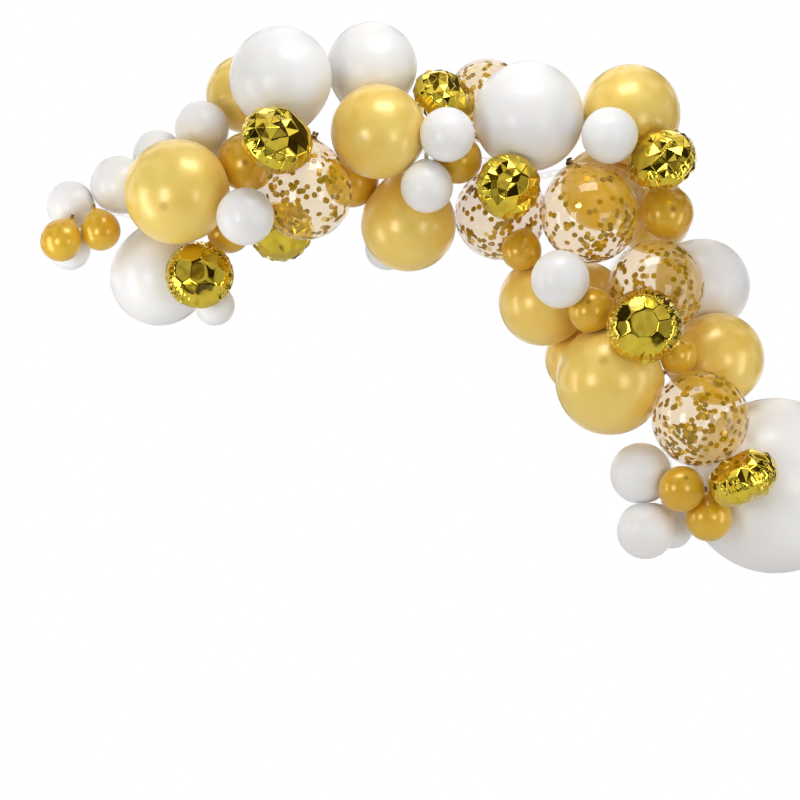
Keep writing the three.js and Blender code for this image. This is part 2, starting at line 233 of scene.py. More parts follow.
class StripSettings(bpy.types.PropertyGroup):
    cell: prop_length("Hole spacing", "Distance between the holes", 25 * MM)
    hole: prop_length("Hole", "Diameter of a hole", 9 * MM)
    tint: prop_colour("Plastic", "Colour of the strip", (0.93, 0.93, 0.92))


class StageSettings(bpy.types.PropertyGroup):
    floor_height: prop_length("Floor", "Height of the floor", -2.05)
    distance: prop_length("Camera distance", "Distance of the camera", 20)
    frame_width: prop_length("Frame width", "Width that the camera sees", 2.16)
    centre_x: prop_length("Across", "Middle of the picture, across", -0.054)
    centre_z: prop_length("Up", "Middle of the picture, up", -0.675)


class Signal:
    """A number that varies over a surface, so that shader maths reads as arithmetic."""

    def __init__(self, kit, socket):
        self.kit = kit
        self.socket = socket

    def maths(self, operation, *values):
        node = self.kit.add("ShaderNodeMath", dict(enumerate(values)), operation=operation)
        return Signal(self.kit, node.outputs[0])

    def __add__(self, other):
        return self.maths("ADD", self, other)

    def __sub__(self, other):
        return self.maths("SUBTRACT", self, other)

    def __rsub__(self, other):
        return self.maths("SUBTRACT", other, self)

    def __mul__(self, other):
        return self.maths("MULTIPLY", self, other)

    __radd__ = __add__
    __rmul__ = __mul__

    def step(self, low, high):
        """0 below low, 1 above high and a smooth rise between them."""
        values = {"Value": self, "From Min": low, "From Max": high}
        node = self.kit.add("ShaderNodeMapRange", values, interpolation_type="SMOOTHSTEP")
        return Signal(self.kit, node.outputs["Result"])


class NodeKit:
    """Makes the nodes of one material, world or shape."""

    def __init__(self, tree):
        self.tree = tree
        tree.nodes.clear()

    def add(self, kind, values=None, **settings):
        """A node with its settings, then the values and links of its sockets."""
        node = self.tree.nodes.new(kind)
        for name, value in settings.items():
            setattr(node, name, value)
        for name, value in (values or {}).items():
            socket = node.inputs[name]
            value = value.socket if isinstance(value, Signal) else value
            if isinstance(value, bpy.types.NodeSocket):
                self.tree.links.new(value, socket)
            elif socket.type == "RGBA" and len(value) == 3:
                socket.default_value = (*value, 1)
            else:
                socket.default_value = value
        return node

    def noise(self, scale, detail=2, place=None):
        """Noise over the object, or over another place."""
        if place is None:
            place = self.add("ShaderNodeTexCoord").outputs["Object"]
        node = self.add("ShaderNodeTexNoise", {"Vector": place, "Scale": scale, "Detail": detail})
        return Signal(self, node.outputs["Fac"])

    def blend(self, part, one, other):
        """A colour that goes from one to the other."""
        return self.add("ShaderNodeMix", {0: part, 6: one, 7: other}, data_type="RGBA").outputs[2]

    def bump(self, height, strength, distance):
        values = {"Height": height, "Strength": strength, "Distance": distance}
        return self.add("ShaderNodeBump", values).outputs["Normal"]

    def vector(self, operation, *values, **named):
        values = {**dict(enumerate(values)), **named}
        return self.add("ShaderNodeVectorMath", values, operation=operation).outputs[0]

    def parts(self, vector):
        """The X, Y and Z of a vector."""
        return [Signal(self, part) for part in self.add("ShaderNodeSeparateXYZ", {0: vector}).outputs]

    def along(self):
        """Where a point is between the crown, 0, and the knot, 1."""
        return self.parts(self.add("ShaderNodeUVMap", uv_map="profile").outputs["UV"])[1]

    def surface(self, values):
        """Shows one principled surface with these values."""
        shader = self.add("ShaderNodeBsdfPrincipled", values).outputs["BSDF"]
        self.add("ShaderNodeOutputMaterial", {"Surface": shader})


def new_material(name):
    material = bpy.data.materials.new(name)
    material.use_nodes = True
    return material, NodeKit(material.node_tree)


def darker(colour, part):
    return tuple(value * part for value in colour)


def latex_material(look, finish, crown, metallic, roughness, coat, glow, sheen):
    """Dyed rubber, a little see-through where it is stretched thin, darker at the crown and the knot."""
    material, kit = new_material(finish + "_latex")
    colour, shade, knot = (getattr(look, finish + part) for part in ("", "_shade", "_knot"))
    along = kit.along()
    powder = kit.noise(260)
    tint = kit.blend(kit.noise(9, 3).step(0.35, 0.7), colour, shade)
    tint = kit.blend((1 - along.step(*CROWN_SPOT)) * crown, tint, knot)
    tint = kit.blend(along.step(*NECK_TINT) * NECK_STRENGTH, tint, knot)
    kit.surface({
        "Base Color": tint,
        "Metallic": metallic,
        "Roughness": roughness + powder * 0.06,
        "Subsurface Weight": glow,
        "Subsurface Radius": (1.0, 0.75, 0.5),
        "Subsurface Scale": 0.03,
        "Coat Weight": coat,
        "Coat Roughness": 0.17,
        "Sheen Weight": 0.3,
        "Sheen Roughness": 0.4,
        "Sheen Tint": sheen,
        "Normal": kit.bump(powder, 0.05, 0.0004),
    })
    return material


def film_material(look):
    """Clear rubber: thin, glossy and faintly peach."""
    material, kit = new_material("confetti_film")
    kit.surface({
        "Base Color": look.film,
        "Roughness": 0.07,
        "Specular IOR Level": 0.9,
        "Alpha": look.film_alpha,
        "Coat Weight": 1.0,
        "Coat Roughness": 0.03,
        "Coat IOR": 1.65,
        "Sheen Weight": 0.15,
        "Sheen Roughness": 0.35,
        "Sheen Tint": (0.95, 0.66, 0.3),
        "Normal": kit.bump(kit.noise(14), 0.3, 0.002),
    })
    return material


def thick_material(look):
    """The same rubber where it isn't stretched: amber and not see-through."""
    material, kit = new_material("confetti_knot")
    tint = kit.blend(kit.noise(120), look.knot, darker(look.knot, 0.6))
    kit.surface({"Base Color": tint, "Roughness": 0.3, "Coat Weight": 0.4})
    return material


def confetti_material(look):
    """Metallised paper discs, some brighter and some turned dull."""
    material, kit = new_material("confetti_discs")
    chance = Signal(kit, kit.add("ShaderNodeAttribute", attribute_name="disc_chance").outputs["Fac"])
    tint = kit.blend(chance.step(0.45, 0.75), look.gold, darker(look.gold, 0.2))
    tint = kit.blend(1 - chance.step(0.14, 0.2), tint, look.bright)
    kit.surface({"Base Color": tint, "Metallic": 0.9, "Roughness": 0.16 + chance * 0.2})
    return material


def foil_material(look):
    """Gold metallised film with fine creases."""
    material, kit = new_material("gold_foil")
    clouds = kit.noise(16)
    kit.surface({
        "Base Color": kit.blend(clouds.step(0.35, 0.65), look.gold, look.gold_shade),
        "Metallic": 1.0,
        "Roughness": 0.06 + clouds * 0.05,
        "Coat Weight": 0.5,
        "Coat Roughness": 0.05,
        "Coat IOR": 1.6,
        "Normal": kit.bump(kit.noise(24, 1), 0.25, 0.003),
    })
    return material


def strip_material(look):
    """Clear, slightly milky plastic."""
    material, kit = new_material("strip_plastic")
    haze = kit.noise(60)
    tint = kit.blend(haze, look.tint, darker(look.tint, 0.93))
    kit.surface({
        "Base Color": tint, "Roughness": 0.3 + haze * 0.1, "Alpha": 0.12, "Specular IOR Level": 0.3,
    })
    return material


def unit(vector):
    vector = np.asarray(vector, float)
    return vector / np.linalg.norm(vector)


def values_of(items, key, width=1, kind=float):
    """What every item holds under a key: one number each, or a row of them."""
    values = np.empty(len(items) * width, kind)
    items.foreach_get(key, values)
    return values.reshape(-1, width) if width > 1 else values


def new_mesh(name, points, faces, edges=()):
    mesh = bpy.data.meshes.new(name)
    mesh.from_pydata(np.asarray(points).tolist(), edges, np.asarray(faces).tolist())
    return mesh


def placed(name, data):
    """A new object in the scene."""
    holder = bpy.data.objects.new(name, data)
    bpy.context.scene.collection.objects.link(holder)
    return holder


def plain_mesh(holder):
    """The mesh that an object's modifiers make of it. The object is removed."""
    graph = bpy.context.evaluated_depsgraph_get()
    made = bpy.data.meshes.new_from_object(holder.evaluated_get(graph), depsgraph=graph)
    bpy.data.objects.remove(holder)
    return made


def node_surface(name):
    """A node's corners, each once, and the triangles between them."""
    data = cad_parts[name].data
    corners = values_of(data.loops, "vertex_index", kind=int)
    points = values_of(data.vertices, "co", 3).round(6)
    points, place = np.unique(points, axis=0, return_inverse=True)
    return points, place.reshape(-1)[corners].reshape(-1, 3)


def fit_sphere(points, tolerance):
    """The sphere that most of the points lie on, found from many sets of four of them."""
    picks = np.random.default_rng(7).integers(0, len(points), (FIT_TRIES, 4))
    sets = points[picks]
    matrix = 2 * (sets[:, 1:] - sets[:, :1])
    right = (sets[:, 1:] ** 2).sum(2) - (sets[:, :1] ** 2).sum(2)
    usable = np.abs(np.linalg.det(matrix)) > 1e-7
    centres = np.linalg.solve(matrix[usable], right[usable][..., None])[..., 0]
    radii = np.linalg.norm(sets[usable][:, 0] - centres, axis=1)
    off = np.abs(np.linalg.norm(points[None] - centres[:, None], axis=2) - radii[:, None])
    votes = ((off < tolerance) & (radii[:, None] < LARGEST_RADIUS)).sum(1)
    on = off[votes.argmax()] < tolerance
    matrix = np.column_stack([2 * points[on], np.ones(on.sum())])
    answer = np.linalg.lstsq(matrix, (points[on] ** 2).sum(1), rcond=None)[0]
    centre = answer[:3]
    return centre, math.sqrt(answer[3] + centre @ centre), int(on.sum())


def knot_end(points, triangles):
    """The end of the knot: the corner with a full ring of neighbours, all of them close."""
    edges = np.concatenate([triangles[:, [0, 1]], triangles[:, [1, 2]], triangles[:, [2, 0]]])
    edges = np.unique(np.sort(edges, axis=1), axis=0)
    lengths = np.linalg.norm(points[edges[:, 0]] - points[edges[:, 1]], axis=1)
    count = np.bincount(edges.ravel(), minlength=len(points))
    total = np.bincount(edges.ravel(), np.repeat(lengths, 2), minlength=len(points))
    mean = np.where(count >= KNOT_SIDES, total / np.maximum(count, 1), np.inf)
    return points[mean.argmin()]


def neck_sizes(radius):
    """The neck's radius, the knot's radius and the knot's length."""
    neck = NECK_RADIUS + radius * NECK_GROWTH
    return neck, neck * KNOT_FLARE, KNOT_LENGTH + radius * KNOT_GROWTH


class Balloon:
    """Where one balloon of the frame is, how large it is and which way it points."""

    def __init__(self, name):
        self.name = name
        self.kind = name.rsplit("_", 1)[0]
        self.foil = self.kind == "foil_balloon"
        points, triangles = node_surface(name)
        if self.foil:
            face, tail, self.creases = FOIL_TURNS[name]
            self.axis, self.tail = unit(face), unit(tail)
            self.tail = unit(self.tail - self.axis * (self.tail @ self.axis))
            stretch = np.eye(3) + np.outer(self.axis, self.axis) * (1 / FOIL_THICKNESS - 1)
            centre, self.radius, self.fitted = fit_sphere(points @ stretch, FOIL_FIT)
            self.centre = centre @ np.linalg.inv(stretch)
        else:
            self.centre, self.radius, self.fitted = fit_sphere(points, LATEX_FIT)
            end = knot_end(points, triangles) - self.centre
            self.axis = unit(end)
        self.tip = self.radius * LATEX_LENGTH + neck_sizes(self.radius)[2]
        self.knot_part = 1.0 if self.foil else min(1.0, np.linalg.norm(end) / self.tip)

    def reach(self, way):
        """How far the balloon reaches from its centre in one direction."""
        if not self.foil:
            return self.radius
        along = way @ self.axis
        return self.radius * math.hypot(math.sqrt(max(0, 1 - along * along)), FOIL_THICKNESS * along)

    def patches(self):
        """Planes that this balloon stays behind: its flat patches, which have soft edges, and those
        that keep its neck off other balloons and the strip."""
        planes = []
        for other in BALLOONS:
            if other is self:
                continue
            apart = other.centre - self.centre
            distance = np.linalg.norm(apart)
            way = apart / distance
            own, theirs = self.reach(way), other.reach(way)
            pressed = own + theirs + TOUCH_GAP - distance
            if pressed > 0:
                planes.append((way, own - pressed * theirs / (own + theirs), True))
            elif distance - theirs < self.tip + TOUCH_GAP:
                planes.append((way, distance - theirs - TOUCH_GAP, False))
        for point in STRIP_POINTS:
            apart = point - self.centre
            distance = np.linalg.norm(apart)
            limit = distance - STRIP_WIDTH / 2 - TOUCH_GAP
            if limit < self.tip:
                planes.append((apart / distance, limit, False))
        return planes


def strip_line(count):
    """Even points along the strip, on a centripetal curve through its route."""
    route = np.array(STRIP_ROUTE, float) * MM
    ends = np.vstack([2 * route[0] - route[1], route, 2 * route[-1] - route[-2]])
    t = np.linspace(0, 1, 24, endpoint=False)[:, None]
    points = []
    for a, b, c, d in zip(ends, ends[1:], ends[2:], ends[3:]):
        steps = [np.linalg.norm(q - p) ** 0.5 for p, q in ((a, b), (b, c), (c, d))]
        leave = ((b - a) / steps[0] - (c - a) / (steps[0] + steps[1]) + (c - b) / steps[1]) * steps[1]
        enter = ((c - b) / steps[1] - (d - b) / (steps[1] + steps[2]) + (d - c) / steps[2]) * steps[1]
        points.append(
            b * (2 * t**3 - 3 * t**2 + 1) + leave * (t**3 - 2 * t**2 + t)
            + c * (3 * t**2 - 2 * t**3) + enter * (t**3 - t**2)
        )
    points = np.vstack([*points, route[-1:]])
    run = np.concatenate([[0], np.cumsum(np.linalg.norm(np.diff(points, axis=0), axis=1))])
    even = np.linspace(0, run[-1], count)
    return np.column_stack([np.interp(even, run, points[:, i]) for i in range(3)])


def draw_back(points, planes, softness):
    """Draws points, given from the balloon's centre, in behind its flat patches, with round edges.
    A plane that a point's way hardly leans towards lets it by."""
    grazing, far = 0.02, 10
    length = np.maximum(np.linalg.norm(points, axis=1), 1e-9)
    way = points / length[:, None]
    reach = length.copy()
    for normal, distance, soft in planes:
        along = way @ normal
        limit = np.where(along > grazing, distance / np.maximum(along, grazing), far)
        near = np.clip(1 - np.abs(reach - limit) / softness, 0, 1) if soft else 0
        reach = np.minimum(reach, limit) - near**2 * softness / 4
    return way * reach[:, None]


def latex_profile(radius, body, taper):
    """Rows of the distance from the axis, the height along it, and how far into the neck they are."""
    neck, knot, length = neck_sizes(radius)
    top = radius * LATEX_LENGTH
    rows = []
    for i in range(1, body + 1):
        angle = math.pi / 2 * i / body
        rows.append((radius * math.sin(angle), -radius * math.cos(angle), 0))
    for i in range(1, taper + 1):
        part = TAPER_END * math.sin(math.pi / 2 * i / taper)
        out = neck + (radius - neck) * (1 - part**LATEX_SHOULDER) ** LATEX_TAPER
        rows.append((out, top * part, part * NECK_MARK))
    start, bend, end = rows[-1], (neck * 1.05, top * 0.985), (neck * 0.95, top + length * 0.08)
    for i in range(1, NECK_ROWS + 1):
        t = i / NECK_ROWS
        out, up = (
            (1 - t) ** 2 * a + 2 * t * (1 - t) * b + t * t * c for a, b, c in zip(start, bend, end)
        )
        rows.append((out, up, NECK_MARK + (1 - NECK_MARK) * t))
    for whose, out, up in KNOT_ROWS:
        rows.append(((neck if whose == "neck" else knot) * out, top + length * up, 1))
    return np.array(rows), top + length * 0.9


def across(axis):
    """Two directions square to an axis and to each other."""
    side = unit(np.cross(axis, (0.0, 0.0, 1.0) if abs(axis[2]) < 0.9 else (1.0, 0.0, 0.0)))
    return side, np.cross(axis, side)


def revolved(name, rings, low, high, heights):
    """A closed mesh from two poles and the rings between them, with the way along it as its UV map."""
    count, sides = rings.shape[:2]
    points = np.vstack([[low], rings.reshape(-1, 3), [high]])
    last = len(points) - 1
    faces, marks = [], []
    for i in range(sides):
        j = i + 1
        turn = j % sides
        faces.append((0, 1 + turn, 1 + i))
        marks += [((i + 0.5) / sides, 0), (j / sides, heights[0]), (i / sides, heights[0])]
        for ring in range(count - 1):
            here = 1 + ring * sides
            there = here + sides
            faces.append((here + i, here + turn, there + turn, there + i))
            below, above = heights[ring], heights[ring + 1]
            marks += [(i / sides, below), (j / sides, below), (j / sides, above), (i / sides, above)]
        top = last - sides
        faces.append((top + i, top + turn, last))
        marks += [(i / sides, heights[-1]), (j / sides, heights[-1]), ((i + 0.5) / sides, 1)]
    mesh = bpy.data.meshes.new(name)
    mesh.from_pydata(points.tolist(), [], faces)
    mesh.uv_layers.new(name="profile").data.foreach_set("uv", np.array(marks, float).ravel())
    mesh.update()
    mesh.shade_smooth()
    return mesh


def latex_mesh(balloon, planes, sides, softness, inset=0.0):
    """A latex balloon with its crown, its tapered neck and its rolled knot."""
    rows, end = latex_profile(balloon.radius, sides * 3 // 8, sides // 4)
    outs, ups, marks = rows.T
    side, front = across(balloon.axis)
    angle = np.linspace(0, TURN, sides, endpoint=False)
    waves = np.cos(NECK_PLEATS * angle + balloon.radius * NECK_PLEAT_TURN)
    pleat = 1 + NECK_PLEAT_DEPTH * np.outer(np.clip(marks * 3 - 2, 0, 1), waves)
    spokes = np.outer(np.cos(angle), side) + np.outer(np.sin(angle), front)
    points = outs[:, None, None] * pleat[..., None] * spokes + ups[:, None, None] * balloon.axis
    points *= 1 - inset / balloon.radius
    easing = 1 + (balloon.knot_part - 1) * np.clip(marks / NECK_MARK, 0, 1) ** 2
    points *= easing[:, None, None]
    body = marks < 1
    softness = softness * balloon.radius
    shape = points[body]
    points[body] = draw_back(shape.reshape(-1, 3), planes, softness).reshape(shape.shape)
    low = -balloon.axis * balloon.radius * (1 - inset / balloon.radius)
    low = draw_back(low[None], planes, softness)[0]
    high = balloon.axis * end * balloon.knot_part
    run = np.concatenate([[0], np.cumsum(np.hypot(np.diff(outs), np.diff(ups)))])
    heights = 0.02 + 0.97 * run / run[-1]
    points += balloon.centre
    return revolved(balloon.name, points, low + balloon.centre, high + balloon.centre, heights)


def knot_faces(mesh):
    """1 for each face of the neck and the knot, and 0 for the rest."""
    height = values_of(mesh.uv_layers["profile"].data, "uv", 2)[:, 1]
    first = values_of(mesh.polygons, "loop_start", kind=int)
    return (height[first] > THICK_FROM).astype(int)


def add_piece(name, mesh, material, slot, *nodes):
    """Puts a finished mesh in the scene in place of its nodes of the model."""
    piece = placed(name, mesh)
    mesh.materials.clear()
    mesh.materials.append(material)
    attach(piece, "root")
    if nodes:
        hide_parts(*nodes)
    return piece


def read_balloons():
    """Every balloon of the frame, measured from its solid."""
    names = sorted(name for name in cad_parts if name.rsplit("_", 1)[0] in KINDS)
    balloons = [Balloon(name) for name in names]
    for balloon in balloons:
        if balloon.fitted < LEAST_FITTED:
            raise RuntimeError(f"{balloon.name} can't be measured: {balloon.fitted} corners agree")
    return balloons


BALLOONS = read_balloons()
STRIP_POINTS = strip_line(180)


class MakeLatexBalloons(bpy.types.Operator):
    """Makes the white, pearl gold and deep gold latex balloons"""

    bl_idname = "garland.latex_balloons"
    bl_label = "Latex balloons"

    def execute(self, context):
        look = context.scene.garland_latex
        finishes = {
            finish + "_balloon": latex_material(look, finish, *values)
            for finish, values in LATEX_FINISHES.items()
        }
        for balloon in BALLOONS:
            if balloon.kind in finishes:
                sides = look.large_sides if balloon.radius > LARGE_RADIUS else look.small_sides
                mesh = latex_mesh(balloon, balloon.patches(), sides, look.softness)
                name = "latex_" + balloon.name
                add_piece(name, mesh, finishes[balloon.kind], balloon.kind, balloon.name)
        return {"FINISHED"}


def shape_tree(name, inputs):
    """A new shape tree, what makes its nodes, and its named inputs."""
    tree = bpy.data.node_groups.new(name, "GeometryNodeTree")
    for label, kind in {"Geometry": "Geometry", **inputs}.items():
        tree.interface.new_socket(label, in_out="INPUT", socket_type="NodeSocket" + kind)
    tree.interface.new_socket("Geometry", in_out="OUTPUT", socket_type="NodeSocketGeometry")
    kit = NodeKit(tree)
    return tree, kit, kit.add("NodeGroupInput").outputs


def give_out(kit, shape, material):
    """Ends a shape tree: the material goes on and the shape goes out."""
    done = kit.add("GeometryNodeSetMaterial", {"Geometry": shape, "Material": material})
    kit.add("NodeGroupOutput", {0: done.outputs[0]})


def scatter_tree(material):
    """Confetti discs that lie flat against a wall, in clumps."""
    tree, kit, given = shape_tree("confetti_scatter", {
        "Disc Diameter": "Float", "Thickness": "Float", "Density": "Float", "Clump Size": "Float",
        "Tilt": "Float", "Seed": "Int",
    })
    seed = given["Seed"]
    place = kit.add("GeometryNodeInputPosition").outputs[0]
    shifted = kit.vector("MULTIPLY_ADD", seed, (0.7, 1.3, 2.1), place)
    clumps = kit.noise(given["Clump Size"], 1, shifted).step(0.42, 0.66)
    height = kit.parts(kit.add("GeometryNodeInputNormal").outputs[0])[2]
    low = 1 - height.step(-0.9, 0.6) * 0.5
    gathered = clumps * (1 - BETWEEN_CLUMPS) + BETWEEN_CLUMPS
    density = Signal(kit, given["Density"]) * gathered * low
    values = {"Mesh": given["Geometry"], "Density": density, "Seed": seed}
    spread = kit.add("GeometryNodeDistributePointsOnFaces", values, distribute_method="RANDOM").outputs
    radius = Signal(kit, given["Disc Diameter"]) * 0.5
    values = {"Vertices": DISC_SIDES, "Radius": radius, "Depth": given["Thickness"]}
    disc = kit.add("GeometryNodeMeshCylinder", values, fill_type="TRIANGLE_FAN")
    values = {0: (-1, -1, 0), 1: (1, 1, 6.28), "Seed": seed}
    chance = kit.add("FunctionNodeRandomValue", values, data_type="FLOAT_VECTOR").outputs[0]
    tilt = given["Tilt"]
    lean = kit.add("ShaderNodeCombineXYZ", {"X": tilt, "Y": tilt, "Z": 1.0}).outputs[0]
    values = {0: spread["Rotation"], 1: kit.vector("MULTIPLY", chance, lean)}
    turned = kit.add("FunctionNodeRotateRotation", values, rotation_space="LOCAL")
    discs = kit.add("GeometryNodeInstanceOnPoints", {
        "Points": spread["Points"], "Instance": disc.outputs["Mesh"], "Rotation": turned.outputs[0],
    })
    loose = kit.add("FunctionNodeRandomValue", {2: 0.0, 3: DISC_PLAY, "Seed": seed}, data_type="FLOAT")
    sunk = kit.vector("SCALE", (0, 0, -1), Scale=loose.outputs[1])
    values = {"Instances": discs.outputs[0], "Translation": sunk}
    moved = kit.add("GeometryNodeTranslateInstances", values)
    shade = kit.add("FunctionNodeRandomValue", {"Seed": SHADE_SEED}, data_type="FLOAT")
    values = {"Geometry": moved.outputs[0], "Name": "disc_chance", "Value": shade.outputs[1]}
    marked = kit.add("GeometryNodeStoreNamedAttribute", values, data_type="FLOAT", domain="INSTANCE")
    real = kit.add("GeometryNodeRealizeInstances", {0: marked.outputs[0]})
    give_out(kit, real.outputs[0], material)
    return tree


def grown(base, tree, values, name):
    """The plain mesh that a shape tree makes of a base mesh."""
    holder = placed(name, base)
    modifier = holder.modifiers.new(name, "NODES")
    modifier.node_group = tree
    for item in tree.interface.items_tree:
        if item.in_out == "INPUT" and item.name in values:
            modifier[item.identifier] = values[item.name]
    return plain_mesh(holder)


class MakeConfettiBalloons(bpy.types.Operator):
    """Makes the clear balloons and the confetti inside them"""

    bl_idname = "garland.confetti_balloons"
    bl_label = "Confetti balloons"

    def execute(self, context):
        look = context.scene.garland_confetti
        latex = context.scene.garland_latex
        film, thick, discs = film_material(look), thick_material(look), confetti_material(look)
        tree = scatter_tree(discs)
        for number, balloon in enumerate(b for b in BALLOONS if b.kind == "confetti_balloon"):
            planes = balloon.patches()
            mesh = latex_mesh(balloon, planes, latex.large_sides, latex.softness)
            piece = add_piece("film_" + balloon.name, mesh, film, balloon.kind, balloon.name)
            piece.visible_shadow = False
            mesh.materials.append(thick)
            mesh.polygons.foreach_set("material_index", knot_faces(mesh))
            wall = latex_mesh(balloon, planes, WALL_SIDES, latex.softness, inset=WALL_GAP)
            values = {
                "Disc Diameter": look.disc, "Thickness": look.thickness, "Density": look.density,
                "Clump Size": look.clumps, "Tilt": look.tilt, "Seed": CONFETTI_SEED + number,
            }
            made = grown(wall, tree, values, "confetti_in_" + balloon.name)
            add_piece("confetti_in_" + balloon.name, made, discs, balloon.kind)
        return {"FINISHED"}


def flat_foil(rings, radius):
    """Points and triangles of one round sheet of foil, ring by ring, with six more points a ring."""
    points, starts = [(0.0, 0.0)], [0]
    for ring in range(1, rings + 1):
        starts.append(len(points))
        away = radius * ring / rings
        for i in range(6 * ring):
            angle = TURN * i / (6 * ring)
            points.append((away * math.cos(angle), away * math.sin(angle)))
    faces = [(0, 1 + i, 1 + (i + 1) % 6) for i in range(6)]
    for ring in range(2, rings + 1):
        inner, outer = starts[ring - 1], starts[ring]
        for sector in range(6):
            for i in range(ring):
                within = sector * (ring - 1) + i
                a = outer + sector * ring + i
                b = outer + (sector * ring + i + 1) % (6 * ring)
                c = inner + within % (6 * (ring - 1))
                faces.append((c, a, b))
                if i < ring - 1:
                    faces.append((c, b, inner + (within + 1) % (6 * (ring - 1))))
    return np.array(points), np.array(faces), starts[-1]


def foil_form(look, seed, fill):
    """A foil balloon of radius 1 round the Z axis: two flat sheets joined at the seam and
    filled."""
    flat, faces, rim = flat_foil(look.rings, look.flat)
    part = np.minimum(np.hypot(*flat.T) / look.flat, 1)
    chance = np.random.default_rng(seed)
    if fill:
        swell = 0.06 * (1 - part**2)
        rough = 0.004 * chance.normal(size=(2, len(flat))) * (part < 0.99)
    else:
        swell = FOIL_THICKNESS * (1 - part**2.6) ** 0.75
        rough = np.zeros((2, len(flat)))
        flat = flat * ((part * 1.311 - 0.31 * part**5) / np.maximum(part * look.flat, 1e-9))[:, None]
    front = np.column_stack([flat, swell + rough[0]])
    back = np.column_stack([flat, -swell + rough[1]])[:rim]
    joined = np.arange(len(flat))
    joined[:rim] += len(flat)
    points = np.vstack([front, back])
    faces = np.vstack([faces, joined[faces][:, ::-1]])
    if fill:
        points = filled(points, faces, look.frames)
    every = np.concatenate([part, part[:rim]])
    seam = points[rim:len(flat), :2]
    outer = np.hypot(*seam.T)
    usual = np.percentile(outer, 90)
    turns = np.arctan2(seam[:, 1], seam[:, 0])
    order = turns.argsort()
    edge = np.interp(np.arctan2(points[:, 1], points[:, 0]), turns[order], outer[order], period=TURN)
    points[:, :2] *= ((usual / edge) ** (0.7 * every**4))[:, None]
    points[:, :2] *= (FOIL_INSIDE - look.rim) / usual
    seam *= 1 + look.rim / np.linalg.norm(seam, axis=1)[:, None]
    points[:, 2] *= FOIL_THICKNESS * FOIL_INSIDE / np.abs(points[:, 2]).max()
    return points, faces, every


def filled(points, faces, frames):
    """Lets the air in: the sheets hardly stretch, so the seam is drawn in and wrinkles."""
    scene = bpy.context.scene
    holder = placed("foil_filling", new_mesh("foil_filling", points, faces))
    cloth = holder.modifiers.new("filling", "CLOTH")
    sheet = cloth.settings
    sheet.quality = 8
    sheet.mass = 0.2
    sheet.air_damping = 2
    sheet.tension_stiffness = sheet.compression_stiffness = 60
    sheet.shear_stiffness = 30
    sheet.bending_stiffness = 3
    sheet.tension_damping = sheet.compression_damping = sheet.shear_damping = 10
    sheet.bending_damping = 0.5
    sheet.use_pressure = True
    sheet.uniform_pressure_force = 20
    sheet.effector_weights.gravity = 0
    cloth.collision_settings.use_collision = False
    cloth.point_cache.frame_start, cloth.point_cache.frame_end = 1, frames
    for step in range(1, frames + 1):
        scene.frame_set(step)
    graph = bpy.context.evaluated_depsgraph_get()
    result = values_of(holder.evaluated_get(graph).data.vertices, "co", 3)
    bpy.data.objects.remove(holder)
    scene.frame_set(1)
    return result


def scattered(chance, reach, apart):
    """Random places in a circle that keep their distance from each other, closer on one side."""
    places = []
    for place in chance.uniform(-reach, reach, (500, 2)):
        room = apart * (1 + 0.45 * place[0] / reach)
        if np.hypot(*place) < reach and all(np.hypot(*(place - other)) > room for other in places):
            places.append(place)
    return np.array(places)


def spanned(places, knots, heights):
    """Heights of the flat triangles that span the knots."""
    made = geometry.delaunay_2d_cdt([Vector(knot) for knot in knots], [], [], 0, 1e-6)
    result = np.zeros(len(places))
    for face in made[2]:
        a, b, c = (made[3][corner][0] for corner in face)
        sides = np.column_stack([knots[b] - knots[a], knots[c] - knots[a]])
        if abs(np.linalg.det(sides)) < 1e-9:
            continue
        parts = np.linalg.solve(sides, (places - knots[a]).T)
        inside = (parts > -1e-6).all(axis=0) & (parts.sum(axis=0) < 1 + 1e-6)
        rise = np.array([heights[b] - heights[a], heights[c] - heights[a]])
        result[inside] = heights[a] + rise @ parts[:, inside]
    return result


def dome(away):
    """Height of the filled skin over its middle plane, at a distance from the centre."""
    return FOIL_THICKNESS * np.sqrt(np.clip(1 - away**2, 0, 1))


def ridged(places, look, chance):
    """Sharp ridges between flat triangles, and rings of pleats along the seam."""
    count = look.pleats
    turn = TURN * (np.arange(count) + 0.35 * chance.random(count)) / count
    inner = scattered(chance, 0.62, 0.22)
    knots = [inner]
    heights = [dome(np.hypot(*inner.T)) + look.crumple * chance.normal(size=len(inner))]
    for away, shift, lift in PLEAT_ROWS:
        angle = turn + shift * TURN / count
        reach = away + 0.02 * chance.normal(size=count)
        knots.append((np.array([np.cos(angle), np.sin(angle)]) * reach).T)
        base = dome(away) if away < 1 else -0.2
        heights.append(base + look.crumple * (1.2 * lift + 0.35 * chance.normal(size=count)))
    return spanned(places, np.vstack(knots), np.concatenate(heights))


def polygon_planes(look, style, chance):
    """Planes that cut flat polygons: one in the middle and rings of smaller ones round it."""
    uneven = 0.45 if style == "polygons" else 0.12
    planes = []
    for count, tilt, depth in POLYGONS[style]:
        start = chance.random() * 6
        for i in range(count):
            turn = start + TURN * (i + uneven * (chance.random() - 0.5)) / count
            lean = tilt * (1 + 0.35 * uneven * chance.normal())
            out, up = math.sin(lean), math.cos(lean)
            way = np.array([out * math.cos(turn), out * math.sin(turn), up])
            support = math.hypot(out, FOIL_THICKNESS * up)
            cut = look.facet * depth * (1 + uneven * (chance.random() - 0.5))
            planes.append((way, support * (1 - cut), True))
    return planes


